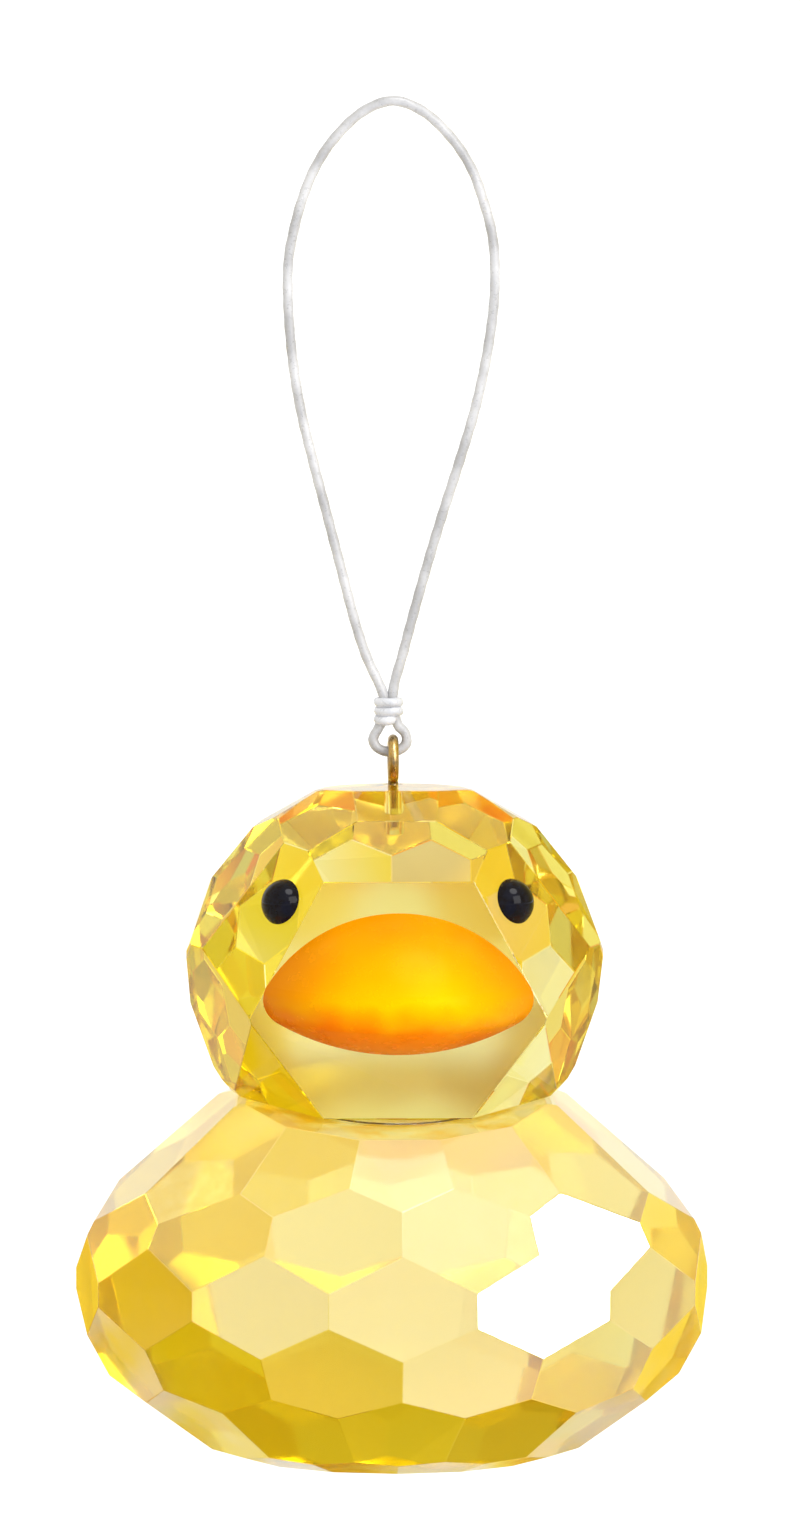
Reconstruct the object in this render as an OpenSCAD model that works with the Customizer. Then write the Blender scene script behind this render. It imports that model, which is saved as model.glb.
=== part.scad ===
// Cut-crystal duck ornament that hangs from a loop of thin cord.
// The origin is the inside top of the loop. The duck hangs below it on the Z axis and faces -Y.
// A facet is a half-space: its direction is an azimuth, 0 at the face and positive towards +X, with an
// elevation above the horizontal, and its reach is its distance from the centre of its crystal.

/* [Cord] */
// Diameter of the cord
cord_d = 0.5; // [0.4:0.05:0.55]
// Width of the knot that gathers the two strands
knot_w = 1.5; // [1.45:0.05:1.7]
// Height of the knot
knot_h = 1.6; // [1.6:0.1:1.8]

/* [Eyelet] */
// Diameter of the eyelet's wire
wire_d = 0.5; // [0.4:0.05:0.5]
// Diameter of the eyelet's ring, over the wire
ring_d = 2.4; // [2.4:0.1:2.8]
// Length of the peg below the top of the head
peg_len = 3.6; // [2.4:0.2:4]
// Diameter of the hole that the peg is bonded into
hole_d = 0.9; // [0.8:0.05:1.2]

/* [Head] */
// Width of the head across its side facets
head_w = 19.5; // [18:0.5:20]
// Length of the head before its face is cut flat
head_l = 19.6; // [19:0.2:20]
// Height of the head before its top and neck are cut flat
head_h = 18.4; // [18.2:0.2:19]
// Facets in each ring around the head
head_around = 16; // [14:2:18]

/* [Body] */
// Width of the body across its side facets
body_w = 29.6; // [28:0.4:31]
// Length of the body without its tail
body_l = 31; // [30:0.5:32]
// Facets in each ring around the body
body_around = 13; // [11:2:15]
// How far the tail's tip stands behind the middle of the body
tail_out = 16.5; // [16:0.5:18]
// How far the tail's tip stands above the middle of the body
tail_up = 7; // [5:0.5:8]

/* [Beak and eyes] */
// Width of the whole lens that the beak is cut from
beak_w = 14.8; // [14.4:0.1:15.2]
// How far the beak stands out of the face
beak_out = 3.7; // [3:0.1:4.2]
// Diameter of an eye
eye_d = 2.2; // [1.8:0.1:2.4]
// Height of an eye's dome
eye_h = 0.8; // [0.6:0.1:1]

/* [Hidden] */
$fn = 48;

// The cord's centre line as [x, z], in the plane of the loop. The loop runs from the left of the knot's
// top over the origin to the right of the knot's top, and the bight turns under the ring.
LOOP_ROUTE = [
    [-0.5, -28], [-0.75, -27.4], [-1.3, -26.2], [-1.85, -24.5], [-2.5, -22], [-3.15, -19.5], [-3.8, -17],
    [-4.4, -14.5], [-4.8, -12], [-5, -9.5], [-5, -7.5], [-4.75, -6], [-4.35, -4.5], [-3.75, -3],
    [-2.85, -1.6], [-1.5, -0.3], [0, 0.25], [1.5, -0.3], [2.85, -1.6], [3.75, -3], [4.3, -4.5],
    [4.7, -6], [4.85, -7.5], [4.8, -9.5], [4.45, -12], [3.9, -14.5], [3.15, -17], [2.35, -19.5],
    [1.6, -22], [0.9, -24.5], [0.45, -26.2], [0.1, -27.4], [0, -28]
];
BIGHT_ROUTE = [
    [-0.65, -29.6], [-0.75, -29.8], [-0.9, -30.05], [-0.95, -30.3], [-0.8, -30.6], [-0.5, -30.78],
    [-0.1, -30.84], [0.3, -30.75], [0.6, -30.5], [0.65, -30.2], [0.55, -29.9], [0.35, -29.7], [0.25, -29.6]
];
CORD_SIDES = 8;
ROUTE_STEPS = 2;        // rings per span of the loop's route

knot_top = [-0.25, 0, -28];
swing_z = -30.8;        // height of the line through the bight that the duck rocks about
ring_slack = 0.05;      // gap between the bight and the inside of the ring
ring_r = (ring_d - wire_d) / 2;
ring_z = swing_z + cord_d / 2 + ring_slack - (ring_r - wire_d / 2);
head_top = ring_z - ring_d / 2;
hole_depth = peg_len + 0.4;

// Each crystal's size is its half width, half length, and its height above and below its centre.
duck_y = -0.08;             // puts the duck's centre of mass under the eyelet
head_reach = [head_w / 2, head_l / 2, head_h / 2, head_h / 2];
head_at = [0, duck_y - 2.6, head_top - 8.7];
body_reach = [body_w / 2, body_l / 2, 10.9, 9.6];
body_at = [0, duck_y, head_top - 23.7];
base_drop = 8.6;
seat_tilt = 9.7;        // the neck's seat rises towards the tail
seat_up = 9.5;
film = 0.1;             // thickness of a bond between two flats
tail_r = 1.2;
block = 90;             // side of the cube that stands for a half-space

// The rings of facets as [elevation, offset in pitches, share of the width], staggered from ring to ring.
BODY_RINGS = [[68, 0.5, 0.9], [48, 0, 0.88], [26, 0.5, 0.98], [0, 0, 1], [-28, 0.5, 1], [-54, 0, 1],
              [-74, 0.5, 1]];
HEAD_RINGS = [[78, 0.5, 1], [60, 0, 1], [40, 0.5, 1], [20, 0, 1], [0, 0.5, 1], [-20, 0, 1], [-40, 0.5, 1],
              [-60, 0, 1]];

// The larger facets at the front of the head as [azimuth, elevation, reach]. Those in PAIRED are on both sides.
face = [0, -4, 5.6];
forehead = [0, 40, 7.6];
crown = [0, 62, 8.3];
eye_facet = [42, 17, 7.9];
PAIRED = [eye_facet, [28, 58, 8.5], [66, 30, 8.75], [68, -15, 8.75], [50, -32, 8.6]];
FACE_FACETS = concat([face, forehead, crown], [for (f = PAIRED, side = [-1, 1]) [side * f[0], f[1], f[2]]]);
eye_out = 0.95;         // from the middle of the eye's facet, towards the side of the head
eye_up = 1.45;          // and upwards along the facet

function facing(az, el) = [sin(az) * cos(el), -cos(az) * cos(el), sin(el)];
function round_reach(n, r) = norm([n[0] * r[0], n[1] * r[1], n[2] * (n[2] > 0 ? r[2] : r[3])]);
function tail_reach(n) = n * [0, tail_out, tail_up] + tail_r;
function seat_gap(at) = let(n = facing(0, 90 - seat_tilt)) n * (body_at - at) + seat_up;

function ring_facets(rings, around, r) = [
    for (ring = rings, i = [0:around - 1])
        let(az = (i + ring[1]) * 360 / around, sizes = [r[0] * ring[2], r[1], r[2], r[3]])
        [az, ring[0], round_reach(facing(az, ring[0]), sizes)]
];
function with_tail(facets) = [
    for (f = facets) [f[0], f[1], max(f[2], tail_reach(facing(f[0], f[1])))]
];

// One point of a Catmull-Rom curve through four points of a route.
function between(a, b, c, d, t) =
    0.5 * (2 * b + (c - a) * t + (2 * a - 5 * b + 4 * c - d) * t * t + (3 * b - a - 3 * c + d) * t * t * t);
function at(route, i) = route[min(max(i, 0), len(route) - 1)];
function refined(route, steps) = concat(
    [for (i = [0:len(route) - 2], s = [0:steps - 1])
        between(at(route, i - 1), route[i], route[i + 1], at(route, i + 2), s / steps)],
    [route[len(route) - 1]]
);

// A tube along a route in the XZ plane. Its two ends are level, to lie flat on what they meet.
function heading(route, i) =
    i == 0 || i == len(route) - 1 ? [0, sign(at(route, i + 1)[1] - at(route, i - 1)[1])]
    : let(step = route[i + 1] - route[i - 1]) step / norm(step);
module cord(route) {
    last = len(route) - 1;
    points = [
        for (i = [0:last], s = [0:CORD_SIDES - 1])
            let(h = heading(route, i), a = s * 360 / CORD_SIDES, r = cord_d / 2)
            [route[i][0] + h[1] * r * cos(a), r * sin(a), route[i][1] - h[0] * r * cos(a)]
    ];
    walls = [
        for (i = [0:last - 1], s = [0:CORD_SIDES - 1])
            let(t = (s + 1) % CORD_SIDES, lo = i * CORD_SIDES, hi = lo + CORD_SIDES)
            [lo + s, hi + s, hi + t, lo + t]
    ];
    start = [for (s = [0:CORD_SIDES - 1]) s];
    end = [for (s = [CORD_SIDES - 1:-1:0]) last * CORD_SIDES + s];
    polyhedron(points, concat([start], walls, [end]));
}

module half_space(az, el, reach) {
    rotate([90 - el, 0, az]) translate([-block / 2, -block / 2, reach - block]) cube(block);
}

module gem(facets) {
    intersection_for(f = facets) half_space(f[0], f[1], f[2]);
}

// Puts a piece on a facet of the head, with the facet's outward normal as the piece's Z.
module on_head(f, gap = 0, out = 0, up = 0) {
    translate(head_at) rotate([90 - f[1], 0, f[0]]) translate([out, up, f[2] + gap]) children();
}

module at_eye(side, gap = 0) {
    on_head([side * eye_facet[0], eye_facet[1], eye_facet[2]], gap, side * eye_out, eye_up) children();
}

module cord_loop() {
    color("whitesmoke") cord(refined(LOOP_ROUTE, ROUTE_STEPS));
}

// The outer shape of the knot, a barrel between level ends
module cord_knot() {
    r = knot_w / 2;
    chamfer = 0.25;
    color("gainsboro") translate(knot_top - [0, 0, knot_h]) rotate_extrude()
        polygon([[0, 0], [r - chamfer, 0], [r, chamfer], [r, knot_h - chamfer], [r - chamfer, knot_h], [0, knot_h]]);
}

module cord_bight() {
    color("whitesmoke") cord(BIGHT_ROUTE);
}

module eyelet() {
    color("darkgoldenrod") union() {
        translate([0, 0, ring_z]) rotate([0, 90, 0])
            rotate_extrude() translate([ring_r, 0]) circle(d = wire_d);
        translate([0, 0, head_top - peg_len])
            cylinder(d = wire_d, h = peg_len + wire_d / 2);
    }
}

module eyelet_bond() {
    color("lightyellow") difference() {
        translate([0, 0, head_top - hole_depth]) cylinder(d = hole_d, h = hole_depth);
        translate([0, 0, head_top - peg_len]) cylinder(d = wire_d, h = peg_len + wire_d);
    }
}

module head_crystal() {
    facets = concat(ring_facets(HEAD_RINGS, head_around, head_reach), FACE_FACETS,
                    [[0, 90, head_top - head_at[2]], [180, seat_tilt - 90, -seat_gap(head_at) - film]]);
    color("khaki") difference() {
        translate(head_at) gem(facets);
        translate([0, 0, head_top - hole_depth]) cylinder(d = hole_d, h = hole_depth + 1);
    }
}

module neck_bond() {
    color("lightyellow") translate(body_at) rotate([seat_tilt, 0, 0])
        translate([0, -2.2, seat_up]) cylinder(d = 9.5, h = film);
}

module body_crystal() {
    facets = concat(with_tail(ring_facets(BODY_RINGS, body_around, body_reach)),
                    [[0, -90, base_drop], [0, 90 - seat_tilt, seat_up],
                     [180, atan2(tail_up, tail_out), norm([tail_out, tail_up]) + 0.6]]);
    color("khaki") translate(body_at) gem(facets);
}

// A lens with a round rim that is taller above its rim than below, less the part behind the face
top_r = 8.2;            // radius of the lens's upper face
low_r = 12;             // radius of its lower face
rim_r = 1.4;            // radius of its rim
rim_drop = 0.45;        // from the middle of the face down to the rim
rim_out = beak_w / 2 - rim_r;
beak_cut = beak_w / 2 - beak_out;
function face_drop(r) = sqrt(pow(r - rim_r, 2) - pow(rim_out, 2));
module lens_half(r) {
    intersection() {
        translate([0, -face_drop(r)]) circle(r);
        square([rim_out * r / (r - rim_r), r]);
    }
}
module beak() {
    color("orange") on_head(face, film, 0, -rim_drop) intersection() {
        translate([0, 0, -beak_cut]) rotate([-90, 0, 0]) rotate_extrude($fn = 96) union() {
            lens_half(top_r);
            mirror([0, 1]) lens_half(low_r);
            translate([rim_out, 0]) circle(rim_r);
        }
        translate([-block / 2, -block / 2, 0]) cube(block);
    }
}

module beak_bond() {
    inset = 0.3;
    color("lightyellow") on_head(face, 0, 0, -rim_drop) linear_extrude(film) intersection() {
        translate([0, -face_drop(top_r)]) circle(sqrt(pow(top_r, 2) - pow(beak_cut, 2)) - inset);
        translate([0, face_drop(low_r)]) circle(sqrt(pow(low_r, 2) - pow(beak_cut, 2)) - inset);
    }
}

module eye(side) {
    dome_r = (pow(eye_d / 2, 2) + pow(eye_h, 2)) / (2 * eye_h);
    color("black") at_eye(side, film) intersection() {
        translate([0, 0, eye_h - dome_r]) sphere(dome_r);
        cylinder(d = 2 * eye_d, h = eye_d);
    }
}

module eye_left() {
    eye(-1);
}

module eye_right() {
    eye(1);
}

module eye_bonds() {
    for (side = [-1, 1])
        color("lightyellow") at_eye(side) cylinder(d = eye_d - 0.2, h = film);
}

cord_loop();
cord_knot();
cord_bight();
eyelet();
eyelet_bond();
head_crystal();
neck_bond();
body_crystal();
beak();
beak_bond();
eye_left();
eye_right();
eye_bonds();
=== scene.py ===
"""The looks of a crystal duck ornament on its cord loop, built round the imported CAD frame.

Lengths are in metres, except where a comment says millimetres. +Z is up and the duck faces -Y, so its own
left side is at +X. Directions are an azimuth and an elevation in degrees: azimuth 0 is the duck's front and
90 is its left side.
"""
import math

import bmesh
import bpy
import numpy as np
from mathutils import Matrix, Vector


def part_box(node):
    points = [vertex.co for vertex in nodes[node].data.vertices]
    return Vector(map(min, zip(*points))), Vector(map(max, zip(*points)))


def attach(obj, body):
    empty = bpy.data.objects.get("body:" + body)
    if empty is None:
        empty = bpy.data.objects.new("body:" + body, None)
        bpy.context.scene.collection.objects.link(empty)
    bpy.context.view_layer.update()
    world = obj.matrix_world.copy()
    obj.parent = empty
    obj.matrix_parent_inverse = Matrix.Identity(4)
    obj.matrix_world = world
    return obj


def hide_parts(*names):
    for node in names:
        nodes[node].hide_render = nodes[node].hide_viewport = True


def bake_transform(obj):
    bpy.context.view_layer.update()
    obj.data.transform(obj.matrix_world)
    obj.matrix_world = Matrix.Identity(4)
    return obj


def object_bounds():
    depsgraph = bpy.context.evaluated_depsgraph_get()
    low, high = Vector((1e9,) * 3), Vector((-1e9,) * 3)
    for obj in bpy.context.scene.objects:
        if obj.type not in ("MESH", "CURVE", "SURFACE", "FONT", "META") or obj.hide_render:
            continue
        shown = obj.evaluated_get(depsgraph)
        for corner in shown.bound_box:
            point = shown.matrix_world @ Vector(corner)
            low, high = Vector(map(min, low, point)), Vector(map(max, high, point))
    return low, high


MM = 0.001
WHITE = (1, 1, 1)

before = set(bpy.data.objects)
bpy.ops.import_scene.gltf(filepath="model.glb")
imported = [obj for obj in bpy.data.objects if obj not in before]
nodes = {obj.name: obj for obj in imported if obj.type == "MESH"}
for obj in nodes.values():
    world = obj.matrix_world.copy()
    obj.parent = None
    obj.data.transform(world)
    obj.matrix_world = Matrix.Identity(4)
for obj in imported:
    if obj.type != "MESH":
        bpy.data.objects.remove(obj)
cad_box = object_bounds()
scene = bpy.context.scene
scene.view_settings.view_transform = "Standard"
scene.view_settings.look = "None"
scene.cycles.max_bounces = 24
scene.cycles.transmission_bounces = 20
scene.cycles.glossy_bounces = 16


def facing(az, el):
    """The unit vector in a direction."""
    a = math.radians(az)
    e = math.radians(el)
    return Vector((math.sin(a) * math.cos(e), -math.cos(a) * math.cos(e), math.sin(e)))


def placed(name, data):
    """A new object that holds this data, in the scene."""
    obj = bpy.data.objects.new(name, data)
    scene.collection.objects.link(obj)
    return obj


def use(obj, mat):
    """Gives an object this one material."""
    obj.data.materials.clear()
    obj.data.materials.append(mat)


# ---------------------------------------------------------------- camera
CAMERA_AZIMUTH = -1.75
CAMERA_ELEVATION = 4.5
CAMERA_DISTANCE = 0.8
AIM_RIGHT = 0.33 * MM
AIM_DOWN = 31.57 * MM
VIEW_HEIGHT = 73.24 * MM
SENSOR = 36  # millimetres, as the lens


def make_camera():
    """A long lens, a little above the duck's level, that takes in the duck and its whole loop."""
    outward = facing(CAMERA_AZIMUTH, CAMERA_ELEVATION)
    az = math.radians(CAMERA_AZIMUTH)
    right = Vector((math.cos(az), math.sin(az), 0))
    up = outward.cross(right)
    data = bpy.data.cameras.new("camera")
    data.lens = SENSOR * CAMERA_DISTANCE / VIEW_HEIGHT
    data.clip_start = 0.01
    data.clip_end = 50
    camera = placed("camera", data)
    camera.location = right * AIM_RIGHT - up * AIM_DOWN + outward * CAMERA_DISTANCE
    camera.rotation_mode = "QUATERNION"
    camera.rotation_quaternion = (-outward).to_track_quat("-Z", "Y")
    scene.camera = camera


make_camera()


# ---------------------------------------------------------------- node trees and meshes
class Tree:
    """A short way to build a node tree. Most methods give back the socket that holds their result."""

    def __init__(self, owner):
        owner.use_nodes = True
        self.tree = owner.node_tree
        self.tree.nodes.clear()

    def add(self, kind, inputs=None, **props):
        """A new node, with its properties and inputs set."""
        node = self.tree.nodes.new(kind)
        for key, value in props.items():
            setattr(node, key, value)
        for key, value in (inputs or {}).items():
            self.feed(node.inputs[key], value)
        return node

    def feed(self, socket, value):
        """Links an input to another socket, or sets it to a plain value."""
        if isinstance(value, bpy.types.NodeSocket):
            self.tree.links.new(value, socket)
        else:
            socket.default_value = value

    def ramp(self, share, stops, interpolation="LINEAR"):
        node = self.add("ShaderNodeValToRGB", {"Fac": share})
        node.color_ramp.interpolation = interpolation
        elements = node.color_ramp.elements
        while len(elements) < len(stops):
            elements.new(0.5)
        for element, (at, colour) in zip(elements, stops):
            element.position = at
            element.color = (*colour, 1)
        return node.outputs["Color"]

    def span(self, value, low, high, to_low, to_high):
        """The value, with low to high stretched over to_low to to_high, and held at the ends."""
        ends = {"From Min": low, "From Max": high, "To Min": to_low, "To Max": to_high}
        return self.add("ShaderNodeMapRange", {"Value": value, **ends}).outputs["Result"]

    def maths(self, kind, *values):
        return self.add("ShaderNodeMath", dict(enumerate(values)), operation=kind).outputs[0]

    def vector(self, kind, *values):
        return self.add("ShaderNodeVectorMath", dict(enumerate(values)), operation=kind).outputs[0]

    def split(self, vector):
        """The vector's three parts, by the names X, Y and Z."""
        return self.add("ShaderNodeSeparateXYZ", {0: vector}).outputs

    def toward(self, vector, direction, outside, inside):
        """How well a vector points in a direction: 0 where their dot product is outside, and 1 at inside."""
        dot = self.add("ShaderNodeVectorMath", {0: vector, 1: direction}, operation="DOT_PRODUCT")
        return self.span(dot.outputs["Value"], outside, inside, 0, 1)

    def mixed(self, share, a, b, blend="MIX"):
        node = self.add("ShaderNodeMix", {0: share, 6: a, 7: b}, data_type="RGBA", blend_type=blend)
        return node.outputs[2]

    def noise(self, where, scale, detail=3.0, rough=0.5):
        """Noise with about as many lumps as scale in each unit of length, which is a metre on a piece."""
        values = {"Vector": where, "Scale": scale, "Detail": detail, "Roughness": rough}
        return self.add("ShaderNodeTexNoise", values).outputs["Fac"]

    def bump(self, height, strength, distance):
        values = {"Height": height, "Strength": strength, "Distance": distance}
        return self.add("ShaderNodeBump", values).outputs[0]

    def facet(self):
        """The direction that the surface faces, which turns with the piece."""
        normal = self.add("ShaderNodeNewGeometry").outputs["True Normal"]
        turn = {"vector_type": "NORMAL", "convert_from": "WORLD", "convert_to": "OBJECT"}
        return self.add("ShaderNodeVectorTransform", {0: normal}, **turn).outputs[0]

    def position(self):
        return self.add("ShaderNodeTexCoord").outputs["Object"]


class Material(Tree):
    """One material's node tree, round a Principled shader."""

    def __init__(self, name):
        self.mat = bpy.data.materials.new(name)
        super().__init__(self.mat)
        self.out = self.add("ShaderNodeOutputMaterial")
        self.shader = self.add("ShaderNodeBsdfPrincipled")
        self.feed(self.out.inputs["Surface"], self.shader.outputs[0])

    def put(self, **inputs):
        """Sets the shader's inputs. An underscore in a name stands for a space."""
        for key, value in inputs.items():
            self.feed(self.shader.inputs[key.replace("_", " ")], value)


def finished(bm, name, smooth):
    """The mesh that bm holds, with its faces outward and either smooth or flat."""
    bmesh.ops.recalc_face_normals(bm, faces=bm.faces)
    for face in bm.faces:
        face.smooth = smooth
    mesh = bpy.data.meshes.new(name)
    bm.to_mesh(mesh)
    bm.free()
    return mesh


# ---------------------------------------------------------------- cord
# The loop and the bight, in millimetres as (x, z).
LOOP_ROUTE = [
    (-0.5, -28), (-0.75, -27.4), (-1.3, -26.2), (-1.85, -24.5), (-2.5, -22), (-3.15, -19.5), (-3.8, -17),
    (-4.4, -14.5), (-4.8, -12), (-5, -9.5), (-5, -7.5), (-4.75, -6), (-4.35, -4.5), (-3.75, -3),
    (-2.85, -1.6), (-1.5, -0.3), (0, 0.25), (1.5, -0.3), (2.85, -1.6), (3.75, -3), (4.3, -4.5),
    (4.7, -6), (4.85, -7.5), (4.8, -9.5), (4.45, -12), (3.9, -14.5), (3.15, -17), (2.35, -19.5),
    (1.6, -22), (0.9, -24.5), (0.45, -26.2), (0.1, -27.4), (0, -28),
]
BIGHT_ROUTE = [
    (-0.65, -29.6), (-0.75, -29.8), (-0.9, -30.05), (-0.95, -30.3), (-0.8, -30.6), (-0.5, -30.78),
    (-0.1, -30.84), (0.3, -30.75), (0.6, -30.5), (0.65, -30.2), (0.55, -29.9), (0.35, -29.7), (0.25, -29.6),
]
# The cord inside the knot, in millimetres as (x, y, z): its first end, the other strand, and its last end.
FIRST_END = [(-0.22, 0.1, -28.85), (-0.38, 0.03, -28.45)]
THROUGH_KNOT = [(-0.02, 0, -28.45), (0.05, -0.02, -28.9), (0.15, 0, -29.3)]
LAST_END = [(-0.5, 0, -29.35), (-0.35, -0.06, -29.0)]

CORD_R = 0.25 * MM
CORD_SIDES = 14
RING_GAP = 0.62  # from one ring of a tube's points to the next, in radii
ROUNDED_RINGS = 2  # at each end of a tube
END_BLUNTNESS = 0.35  # where a tube's rounding starts, in rings
PLY_DEPTH = 0.07  # of the grooves between the two twisted strands, in radii
PLY_LENGTH = 1.9 * MM

# The knot's wraps, in turns and, but for KNOT_CORD_R, millimetres.
KNOT_TURNS = 2.35
KNOT_STEPS = 28  # in a turn
KNOT_START = 0.9 * math.pi
KNOT_X = -0.21
KNOT_TOP = -28.34
KNOT_RADIUS = 0.47
KNOT_SQUEEZE = 0.05
KNOT_PITCH = 0.42
KNOT_TILT = 0.1
KNOT_CORD_R = 0.98 * CORD_R  # drawn tight


def catmull(points, steps):
    """A smooth line through the points, with steps stretches from each to the next."""
    p = [np.array(q, float) for q in points]
    p = [2 * p[0] - p[1], *p, 2 * p[-1] - p[-2]]
    line = []
    for i in range(1, len(p) - 2):
        a, b, c, d = p[i - 1 : i + 3]
        for t in np.arange(steps) / steps:
            bend = (2 * a - 5 * b + 4 * c - d) * t**2 + (3 * b - a - 3 * c + d) * t**3
            line.append(0.5 * (2 * b + (c - a) * t + bend))
    return np.array([*line, p[-2]])


def evenly(line, gap):
    """Points at an even gap along a line, and how far along it each one is."""
    along = np.concatenate([[0], np.cumsum(np.linalg.norm(np.diff(line, axis=0), axis=1))])
    at = np.linspace(0, along[-1], max(2, round(along[-1] / gap) + 1))
    return np.stack([np.interp(at, along, line[:, k]) for k in range(3)], 1), at


def directions(line):
    """The direction of a line at each point, and one across it that turns no more than it has to."""
    tangents = np.gradient(line, axis=0)
    tangents /= np.linalg.norm(tangents, axis=1)[:, None]
    side = np.cross(tangents[0], (0, 1, 0))
    if np.linalg.norm(side) <= 0.1:
        side = np.cross(tangents[0], (1, 0, 0))
    across = []
    for tangent in tangents:
        side = side - tangent * (side @ tangent)
        side /= np.linalg.norm(side)
        across.append(side.copy())
    return tangents, across


def tube(name, route, radius):
    """A closed tube along a route, as two twisted strands with rounded ends, and the line that it follows."""
    line, at = evenly(route, radius * RING_GAP)
    bm = bmesh.new()
    rings = []
    for i, (tangent, side) in enumerate(zip(*directions(line))):
        other_side = np.cross(tangent, side)
        size = radius
        from_end = min(i, len(line) - 1 - i)
        if from_end < ROUNDED_RINGS:
            rounded = (from_end + END_BLUNTNESS) / (ROUNDED_RINGS + END_BLUNTNESS)
            size *= math.sin(math.pi / 2 * rounded)
        ring = []
        for s in range(CORD_SIDES):
            angle = 2 * math.pi * s / CORD_SIDES
            strand = 2 * (angle - 2 * math.pi * at[i] / PLY_LENGTH)
            groove = PLY_DEPTH * (0.5 - 0.5 * math.cos(strand))
            out = side * math.cos(angle) + other_side * math.sin(angle)
            ring.append(bm.verts.new(line[i] + out * size * (1 - groove)))
        rings.append(ring)
    for ring, after in zip(rings, rings[1:]):
        for s in range(CORD_SIDES):
            t = (s + 1) % CORD_SIDES
            bm.faces.new((ring[s], ring[t], after[t], after[s]))
    bm.faces.new(rings[0][::-1])
    bm.faces.new(rings[-1])
    return finished(bm, name, smooth=True), line


def nylon(name, light, dark):
    """Faintly translucent nylon with fine fibres, in patches from a light grey to a dark one."""
    m = Material(name)
    pos = m.position()
    patches = m.noise(pos, 420, 2.0, 0.6)
    fibres = m.noise(pos, 5200, 2.0)
    shade = m.maths("ADD", m.span(patches, 0.35, 0.65, 0, 1), m.span(fibres, 0.3, 0.7, -0.12, 0.12))
    between = [(a + b) / 2 for a, b in zip(light, dark)]
    m.put(
        Base_Color=m.ramp(shade, [(0.05, dark), (0.5, between), (0.95, light)]),
        Roughness=m.span(fibres, 0.3, 0.7, 0.24, 0.42),
        Normal=m.bump(fibres, 0.25, 0.02 * MM),
        Transmission_Weight=0.1,
        IOR=1.53,
        Coat_Weight=0.25,
        Coat_Roughness=0.2,
    )
    return m.mat


def make_cord():
    """The whole cord, from its first end in the knot, round the loop and the bight, to its last end."""
    loop = [(x, 0, z) for x, z in LOOP_ROUTE]
    bight = [(x, 0, z) for x, z in reversed(BIGHT_ROUTE)]
    points = np.array(FIRST_END + loop + THROUGH_KNOT + bight + LAST_END) * MM
    mesh, line = tube("cord", catmull(points, 8), CORD_R)
    obj = placed("cord", mesh)
    use(obj, nylon("cord_nylon", light=(0.54, 0.54, 0.55), dark=(0.35, 0.35, 0.36)))
    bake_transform(obj)
    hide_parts("cord_loop", "cord_bight")
    return obj, line


def make_knot():
    """Two and a bit wraps of the cord round its own strands, each below the last, with the ends tucked in."""
    wraps = []
    for i in range(int(KNOT_TURNS * KNOT_STEPS) + 1):
        turn = i / KNOT_STEPS
        angle = 2 * math.pi * turn + KNOT_START
        r = KNOT_RADIUS - KNOT_SQUEEZE * math.sin(2 * angle)
        z = KNOT_TOP - KNOT_PITCH * turn + KNOT_TILT * math.cos(angle)
        wraps.append((KNOT_X + r * math.cos(angle), r * math.sin(angle), z))
    first = wraps[0]
    last = wraps[-1]
    first_end = [(-0.3, 0, -28.75), (first[0] * 0.75 - 0.05, first[1], -28.5)]
    last_end = [(last[0] * 0.6, last[1] * 0.6, last[2] + 0.05), (-0.1, 0, -29.05)]
    points = np.array(first_end + wraps + last_end) * MM
    mesh, _ = tube("knot", catmull(points, 3), KNOT_CORD_R)
    obj = placed("knot", mesh)
    use(obj, nylon("knot_nylon", light=(0.72, 0.73, 0.76), dark=(0.52, 0.53, 0.56)))
    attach(obj, "knot")
    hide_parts("cord_knot")
    return obj


cord, cord_line = make_cord()
knot = make_knot()


# ---------------------------------------------------------------- crystals
CRYSTAL_IOR = 1.55
ABSORPTION = 80
HEAD_GLASS = (0.955, 0.905, 0.27)
HEAD_CLEAR = 0.99
HEAD_ROUGH = (0.0, 0.05)
BODY_GLASS = (0.93, 0.85, 0.27)
BODY_CLEAR = 0.87
BODY_ROUGH = (0.05, 0.11)
SATIN = 0.42  # added to the roughness of a ground facet
HEAD_EDGE = 0.06 * MM
BODY_EDGE = 0.07 * MM
TOUCHING = 0.001 * MM
ONE_FACET = math.radians(0.3)
SHARP_EDGE = math.radians(3)
BEAK_FACET = facing(0, -4)  # the large facet of the face, which the beak is bonded to

# A facet's tint, by its chance from 0 to 1: a calm random tint everywhere, and at the duck's two sides a
# livelier random tint whose orange and gold steps are painted flashes that stand in for sparkle.
CALM = [(0.0, WHITE), (0.35, (0.97, 0.98, 0.92)), (0.62, (0.92, 0.92, 0.78)), (0.85, (0.84, 0.83, 0.58))]
TINT_AND_PAINTED_FLASHES = [
    (0.0, (1, 0.98, 0.85)), (0.2, (1, 0.86, 0.15)), (0.45, WHITE), (0.6, (1, 0.6, 0.08)),
    (0.78, (0.97, 0.9, 0.4)), (0.92, (0.8, 0.5, 0.05)),
]
# Painted shade: from the facets that face away from this axis, down and to the duck's right, which are
# painted a deep gold, to those that face along it, toward the light, which stay white.
PAINTED_SHADE_AXIS = (0.6, 0, 0.8)
PAINTED_SHADE_GOLD = [
    (0.0, (0.55, 0.42, 0.005)), (0.18, (0.61, 0.49, 0.015)), (0.26, (0.84, 0.72, 0.2)),
    (0.33, (0.92, 0.84, 0.42)), (0.42, (0.95, 0.9, 0.66)), (0.52, (0.97, 0.96, 0.9)), (0.6, WHITE),
]
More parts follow.
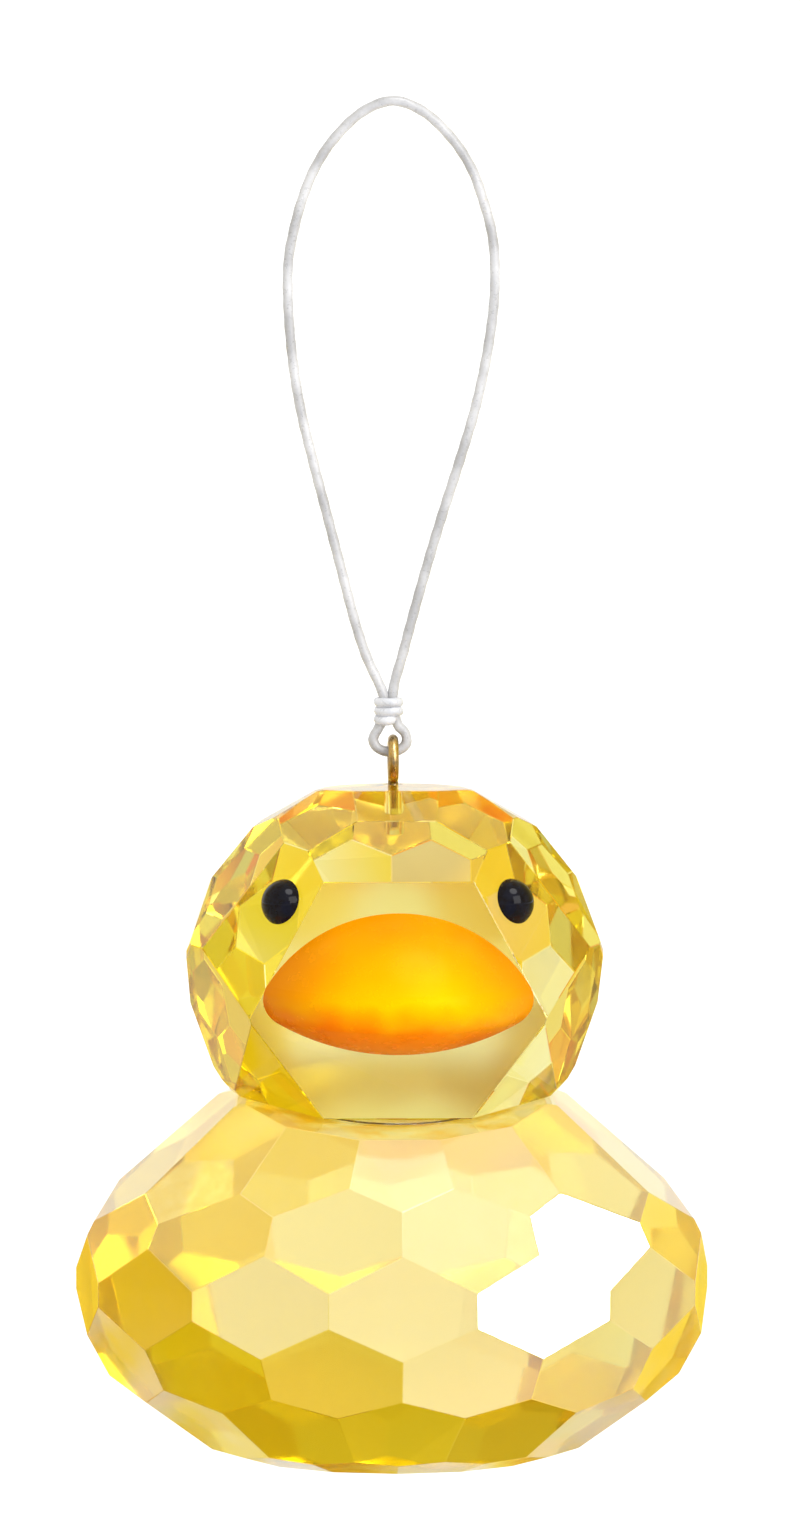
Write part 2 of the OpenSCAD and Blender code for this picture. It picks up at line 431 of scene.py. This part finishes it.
# The tint of the facets' shine along the same axis: painted shade on their reflections.
PAINTED_SHADE_SHINE = [(0.0, (0.7, 0.5, 0.03)), (0.25, (0.8, 0.62, 0.1)), (0.37, WHITE)]
FLECKS = [(0.42, WHITE), (0.5, (1, 0.88, 0.5)), (0.6, (0.95, 0.62, 0.08))]

# The soft limits of the sides and of straight up, as the normal's X and Z, and of one facet, as a cosine.
AT_SIDES = (0.78, 0.88)
STRAIGHT_UP = (0.955, 0.965)
GLINT_SPOT = (0.994, 0.997)
GROUND_SPOT = (0.997, 0.999)
NORMAL_STEP = (0.02, 0.02, 0.02)

# Painted glints: facets given a colour and shine of their own, standing in for the flashes and bright facets
# of a cut crystal, as (azimuth, elevation, colour).
HEAD_PAINTED_GLINTS = [
    (-68, -15, (1, 0.84, 0.01)),
    (-50, -32, (1, 0.76, 0.04)),
    (-66, 30, (1, 0.94, 0.4)),
    (68, -15, (0.92, 0.7, 0.2)),
    (66, 30, (1, 1, 0.9)),
    (157.5, 20, (1, 0.82, 0.3)),
    (-157.5, 20, (1, 0.84, 0.32)),
]
# Facets painted plain white, clear of tint and painted shade.
HEAD_PLAIN = [(50, -32), (-42, 17), (42, 17), (0, 40), (168.75, 0), (-168.75, 0), (157.5, -20), (-157.5, -20)]
HEAD_PAINTED_GLINTS += [(az, el, WHITE) for az, el in HEAD_PLAIN]
BODY_PAINTED_GLINTS = [
    (-83, 48, (1, 0.98, 0.6)),
    (-83, 0, (1, 0.8, 0.1)),
    (-69, 26, (1, 0.72, 0.03)),
    (-69, -28, (1, 0.85, 0.22)),
    (-55, 48, (0.86, 0.8, 0.6)),
    (-55, -54, (1, 0.96, 0.4)),
    (-41.5, 26, (0.84, 0.8, 0.5)),
    (-41.5, -28, (0.66, 0.62, 0.02)),
    (-27.7, 0, (0.88, 0.87, 0.9)),
    (14, -28, WHITE),
    (28, -54, (0.45, 0.33, 0.01)),
    (41.5, -28, (0.86, 0.93, 0.72)),
    (55.4, 0, (0.82, 0.79, 0.68)),
    (69, 26, (1, 0.88, 0.4)),
    (69, -28, (1, 0.78, 0.1)),
    (83, 48, (1, 0.98, 0.6)),
    (83, 0, (1, 0.7, 0.08)),
    (180, -28, (1, 0.99, 0.94)),
]


def faceted(name, node, edge):
    """A crystal as one clean mesh. Each facet of the CAD node is one face, with its edges just broken."""
    bm = bmesh.new()
    bm.from_mesh(nodes[node].data)
    bmesh.ops.remove_doubles(bm, verts=bm.verts, dist=TOUCHING)
    bmesh.ops.dissolve_limit(bm, angle_limit=ONE_FACET, verts=bm.verts, edges=bm.edges)
    sharp = [e for e in bm.edges if len(e.link_faces) == 2 and e.calc_face_angle() > SHARP_EDGE]
    bevel = {"offset_type": "OFFSET", "segments": 1, "profile": 0.5, "affect": "EDGES", "clamp_overlap": True}
    bmesh.ops.bevel(bm, geom=sharp, offset=edge, **bevel)
    obj = placed(name, finished(bm, name, smooth=False))
    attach(obj, "duck")
    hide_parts(node)
    return obj


def crystal_colours(m, pos, normal, painted_glints):
    """The colour of each facet, and the tint of its shine, each with painted shade, painted flashes at the
    sides and painted glints.
    """
    steps = m.vector("SNAP", normal, NORMAL_STEP)
    parts = m.split(steps)
    chance = m.add("ShaderNodeTexWhiteNoise", {"Vector": steps}, noise_dimensions="3D").outputs["Value"]
    aside = m.span(m.maths("ABSOLUTE", parts["X"]), *AT_SIDES, 0, 1)
    # Painted flashes: at the two sides each facet's random tint may be an orange or gold flash that stands in
    # for sparkle.
    painted_flashes = m.ramp(chance, TINT_AND_PAINTED_FLASHES, "CONSTANT")
    tint = m.mixed(aside, m.ramp(chance, CALM, "CONSTANT"), painted_flashes)
    # Painted shade: facets that face down and to the duck's right are a deeper gold, in colour and in shine.
    along = m.toward(steps, PAINTED_SHADE_AXIS, -1, 1)
    colour = m.mixed(1.0, tint, m.ramp(along, PAINTED_SHADE_GOLD), "MULTIPLY")
    flecked = m.mixed(1.0, colour, m.ramp(m.noise(pos, 420, 3.0, 0.6), FLECKS), "MULTIPLY")
    colour = m.mixed(m.span(parts["Z"], *STRAIGHT_UP, 0, 1), colour, flecked)
    shine = m.mixed(aside, m.ramp(along, PAINTED_SHADE_SHINE), painted_flashes)
    # Painted glints: single facets take their own colour and shine.
    for az, el, glint in painted_glints:
        here = m.toward(normal, facing(az, el), *GLINT_SPOT)
        colour = m.mixed(here, colour, (*glint, 1))
        shine = m.mixed(here, shine, (*glint, 1))
    return colour, shine


def crystal_material(name, glass, clear, rough, painted_glints, ground=None):
    """Yellow crystal. Each facet has a slight random tint of its own, stronger at the two sides, where orange
    and gold tints are painted flashes. The facets that look down, or to the duck's right, are a deeper gold,
    which is painted shade. Some single facets carry painted glints, and those that look straight up are
    flecked. clear is the transmission, rough the range of the roughness, and ground the direction of a facet
    left satin."""
    m = Material(name)
    pos = m.position()
    normal = m.facet()
    colour, shine = crystal_colours(m, pos, normal, painted_glints)
    roughness = m.span(m.noise(pos, 900), 0.35, 0.65, *rough)
    if ground:
        satin = m.maths("MULTIPLY", m.toward(normal, ground, *GROUND_SPOT), SATIN)
        roughness = m.maths("ADD", roughness, satin)
    m.put(
        Base_Color=colour,
        Roughness=roughness,
        Transmission_Weight=clear,
        IOR=CRYSTAL_IOR,
        Specular_Tint=shine,
    )
    volume = m.add("ShaderNodeVolumeAbsorption", {"Color": (*glass, 1), "Density": ABSORPTION})
    m.feed(m.out.inputs["Volume"], volume.outputs[0])
    return m.mat


head = faceted("head", "head_crystal", HEAD_EDGE)
body = faceted("body", "body_crystal", BODY_EDGE)
use(head, crystal_material("crystal_head", HEAD_GLASS, HEAD_CLEAR, HEAD_ROUGH, HEAD_PAINTED_GLINTS, BEAK_FACET))
use(body, crystal_material("crystal_body", BODY_GLASS, BODY_CLEAR, BODY_ROUGH, BODY_PAINTED_GLINTS))


# ---------------------------------------------------------------- beak and eyes
# The amber from low on the beak to high, a painted bright band between painted shade at both ends; its share
# from the duck's right to its left, painted shade toward both sides; and its back's painted glow.
AMBER_AND_PAINTED_BAND = [
    (0.05, (0.72, 0.12, 0)), (0.26, (0.82, 0.2, 0)), (0.46, (0.9, 0.46, 0)), (0.68, (0.84, 0.37, 0)),
    (1.0, (0.74, 0.27, 0)),
]
PAINTED_SIDE_SHADE = [(0.0, (0.64, 0.34, 1)), (0.3, (0.93, 0.84, 1)), (0.65, WHITE), (1.0, (0.74, 0.5, 1))]
BACK_GLOW = [(0.38, (1, 0.42, 0.01)), (0.5, (1, 0.6, 0.05)), (0.62, (1, 0.78, 0.12))]
BEAK_BACK = facing(180, 4)
BACK_SPOT = (0.99, 0.995)
GLOW_STRENGTH = 0.75
BAND_SLOPE = 0.16


def beak_material():
    """Amber glass with painted light and shade: a painted bright band below the middle that sinks to the
    duck's left, and painted shade that makes it deeper at both ends and at both sides. Its flat back, which
    shows through the head, glows as light from in front would make it, which is painted light."""
    m = Material("beak_glass")
    pos = m.position()
    cloud = m.noise(pos, 260, 2.0)
    fine = m.noise(pos, 1600)
    parts = m.split(pos)
    low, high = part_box("beak")
    across = m.span(parts["X"], low.x, high.x, 0, 1)
    rise = m.span(parts["Z"], low.z, high.z, 0, 1)
    # Painted light: a bright band across the beak, sloping down to the duck's left.
    band = m.maths("MULTIPLY_ADD", across, BAND_SLOPE, rise)
    band = m.maths("ADD", band, m.span(cloud, 0.3, 0.7, -0.1, 0.1))
    behind = m.toward(m.facet(), BEAK_BACK, *BACK_SPOT)
    m.put(
        Base_Color=m.mixed(1.0, m.ramp(band, AMBER_AND_PAINTED_BAND), m.ramp(across, PAINTED_SIDE_SHADE), "MULTIPLY"),
        Emission_Color=m.mixed(behind, (0, 0, 0, 1), m.ramp(cloud, BACK_GLOW)),
        Emission_Strength=GLOW_STRENGTH,
        Roughness=m.span(fine, 0.3, 0.7, 0.2, 0.3),
        Transmission_Weight=0.12,
        IOR=1.5,
        Specular_IOR_Level=0.1,
        Specular_Tint=(1, 0.6, 0.05, 1),
    )
    return m.mat


def eye_material():
    """Polished black glass with a faint grain."""
    m = Material("eye_black")
    grain = m.noise(m.position(), 2600)
    m.put(
        Base_Color=m.ramp(grain, [(0.3, (0.002, 0.002, 0.004)), (0.8, (0.006, 0.006, 0.012))]),
        Roughness=m.span(grain, 0.3, 0.7, 0.05, 0.12),
        Specular_IOR_Level=0.14,
    )
    return m.mat


use(nodes["beak"], beak_material())
black = eye_material()
for eye in ("eye_left", "eye_right"):
    use(nodes[eye], black)


# ---------------------------------------------------------------- eyelet and bonds
BRASS = [(0.3, (0.16, 0.12, 0.08)), (0.5, (0.42, 0.3, 0.14)), (0.7, (0.62, 0.46, 0.22))]
ADHESIVE = [(0.3, (0.86, 0.82, 0.66)), (0.7, (0.97, 0.95, 0.86))]
BOND_CLEARANCE = 0.008 * MM


def brass_material():
    """Drawn brass wire, darkened in patches."""
    m = Material("eyelet_brass")
    pos = m.position()
    wear = m.noise(pos, 1500, 4.0, 0.6)
    stretched = m.add("ShaderNodeMapping", {"Vector": pos, "Scale": (1, 1, 0.12)}).outputs[0]
    drawn = m.noise(stretched, 9000, 2.0)
    m.put(
        Base_Color=m.ramp(wear, BRASS),
        Metallic=1.0,
        Roughness=m.span(drawn, 0.3, 0.7, 0.18, 0.38),
        Normal=m.bump(drawn, 0.2, 0.008 * MM),
    )
    return m.mat


def bond_material():
    """Clear adhesive with a slight haze."""
    m = Material("bond_adhesive")
    haze = m.noise(m.position(), 1800, 3.0, 0.6)
    m.put(
        Base_Color=m.ramp(haze, ADHESIVE),
        Roughness=m.span(haze, 0.3, 0.7, 0.02, 0.1),
        Transmission_Weight=0.97,
        IOR=1.5,
    )
    return m.mat


use(nodes["eyelet"], brass_material())
adhesive = bond_material()
for bond in ("eyelet_bond", "neck_bond", "beak_bond", "eye_bonds"):
    use(nodes[bond], adhesive)
    clearance = nodes[bond].modifiers.new("clearance", "DISPLACE")
    clearance.strength = -BOND_CLEARANCE
    clearance.mid_level = 0.0


# ---------------------------------------------------------------- stage and studio
FLOOR_HALF = 80.0
FLOOR_DROP = 22 * MM
FLOOR_Z = cad_box[0].z - FLOOR_DROP
SHEET_HALF = 0.8
SHEET_GAP = 0.5 * MM
BODY_MIDDLE = Vector((0, 0, -55 * MM))
STUDIO_LIGHT = 1.05
# Small patches of colour all round, which a cut crystal breaks up into sparkles.
PATCHES = [
    (0.32, (0.6, 0.3, 0.03)), (0.37, (0.9, 0.5, 0.04)), (0.42, (1, 0.82, 0.1)), (0.46, (1, 1, 0.9)),
    (0.54, WHITE), (0.58, (1, 0.88, 0.15)), (0.62, (1, 0.76, 0.04)), (0.66, (1, 0.42, 0.02)),
]
# Cards over the patches, each over the one before, as (azimuth, elevation, outside, inside, colour). A card's
# soft edge runs from the one cosine, outside, to the other, inside.
CARDS = [
    (0, -90, 0.62, 0.78, (0.72, 0.54, 0.04)),  # gold underneath
    (3, -12, 0.86, 0.94, (0.62, 0.65, 0.82)),  # a dim, cool front
    (128, 16, 0.79, 0.91, (0.8, 0.62, 0.035)),  # gold behind the left side
    (-170, 12, 0.8, 0.9, WHITE),  # white behind
    (0, 46, 0.8, 0.9, (1, 0.98, 0.9)),  # warm white above the front
    (64, -56, 0.9, 0.93, (1.5, 0.6, 0.04)),  # orange below the left side
    (-60, -57, 0.9, 0.93, (1.5, 0.6, 0.04)),  # orange below the right side
    (-161, -14, 0.972, 0.981, (1, 0.72, 0.06)),  # a small amber one, low behind the right side
    (162, -15, 0.978, 0.986, (1, 0.8, 0.1)),  # a small lemon one, low behind the left side
]


def plane(name, half, z):
    """A level square that isn't part of the object."""
    mesh = bpy.data.meshes.new(name)
    corners = [(-half, -half, z), (half, -half, z), (half, half, z), (-half, half, z)]
    mesh.from_pydata(corners, [], [(0, 1, 2, 3)])
    obj = placed(name, mesh)
    return obj


def make_floor():
    floor = plane("floor", FLOOR_HALF, FLOOR_Z)
    m = Material("floor_white")
    speck = m.noise(m.position(), 40, 2.0)
    m.put(Base_Color=m.ramp(speck, [(0.3, (0.94, 0.94, 0.94)), (0.7, (0.97, 0.97, 0.97))]), Roughness=0.9)
    use(floor, m.mat)


def studio(t, ray):
    """The colour that gloss and glass see along a ray."""
    colour = t.ramp(t.noise(ray, 7.0, 1.0), PATCHES)
    for az, el, outside, inside, card in CARDS:
        here = t.toward(ray, facing(az, el), outside, inside)
        colour = t.mixed(here, colour, (*card, 1))
    return colour


def make_world():
    """The studio above the horizon. Below it, and as plain light on the pieces, the world is white."""
    world = bpy.data.worlds.new("studio")
    scene.world = world
    t = Tree(world)
    ray = t.add("ShaderNodeTexCoord").outputs["Generated"]
    below = t.span(t.split(ray)["Z"], 0.0, 0.01, 1, 0)
    plain = t.maths("MAXIMUM", below, t.add("ShaderNodeLightPath").outputs["Is Diffuse Ray"])
    colour = t.mixed(plain, studio(t, ray), (*WHITE, 1))
    light = t.add("ShaderNodeBackground", {"Color": colour, "Strength": STUDIO_LIGHT})
    t.add("ShaderNodeOutputWorld", {"Surface": light.outputs[0]})


def make_sheet():
    """The studio below the horizon, as a sheet just over the floor that only gloss and glass show."""
    sheet = plane("cards", SHEET_HALF, FLOOR_Z + SHEET_GAP)
    sheet.visible_camera = False
    sheet.visible_diffuse = False
    sheet.visible_shadow = False
    sheet.visible_volume_scatter = False
    mat = bpy.data.materials.new("cards")
    t = Tree(mat)
    ray = t.vector("NORMALIZE", t.vector("ADD", t.position(), -BODY_MIDDLE))
    light = t.add("ShaderNodeEmission", {"Color": studio(t, ray), "Strength": STUDIO_LIGHT})
    t.add("ShaderNodeOutputMaterial", {"Surface": light.outputs[0]})
    mat.cycles.emission_sampling = "NONE"
    use(sheet, mat)


# ---------------------------------------------------------------- lights
KEY_DISTANCE = 0.22
KEY_SIZE = (0.07, 0.06)
KEY_POWER = 1.2


def area(name, direction, distance, size, power, aim=(0, 0, 0), only=None):
    """An area light that far from the middle of the body, aimed at it or, by aim, some millimetres off it.
    With only, it falls on that collection's pieces alone, and only their gloss and glass show it."""
    at = BODY_MIDDLE + facing(*direction) * distance
    data = bpy.data.lights.new(name, "AREA")
    data.shape = "RECTANGLE"
    data.size, data.size_y = size
    data.energy = power
    light = placed(name, data)
    light.location = at
    light.rotation_mode = "QUATERNION"
    light.rotation_quaternion = (BODY_MIDDLE + Vector(aim) * MM - at).to_track_quat("-Z", "Y")
    light.visible_camera = False
    if only:
        light.visible_diffuse = False
        light.light_linking.receiver_collection = only


def make_lights():
    """Two keys make the body's white patch, two veils pale its facets, and a fill and a sun light it all."""
    body_only = bpy.data.collections.new("body_only")
    body_only.objects.link(body)
    area("key_low", (55, -2), KEY_DISTANCE, KEY_SIZE, KEY_POWER, aim=(7, -12, 0), only=body_only)
    area("key_high", (93, 33), KEY_DISTANCE, KEY_SIZE, KEY_POWER, aim=(11, -8, 0), only=body_only)
    area("fill_front", (35, 20), 0.5, (0.3, 0.3), 1.2)
    area("veil_front", (6, 2), 0.95, (0.7, 0.5), 18.0, only=body_only)
    area("veil_top", (20, 72), 0.45, (0.5, 0.5), 1.8, only=body_only)
    sun = bpy.data.lights.new("sun", "SUN")
    sun.energy = 1.4
    sun.angle = math.radians(30)
    placed("sun", sun).rotation_euler = (math.radians(25), math.radians(15), 0)


make_floor()
make_world()
make_sheet()
make_lights()
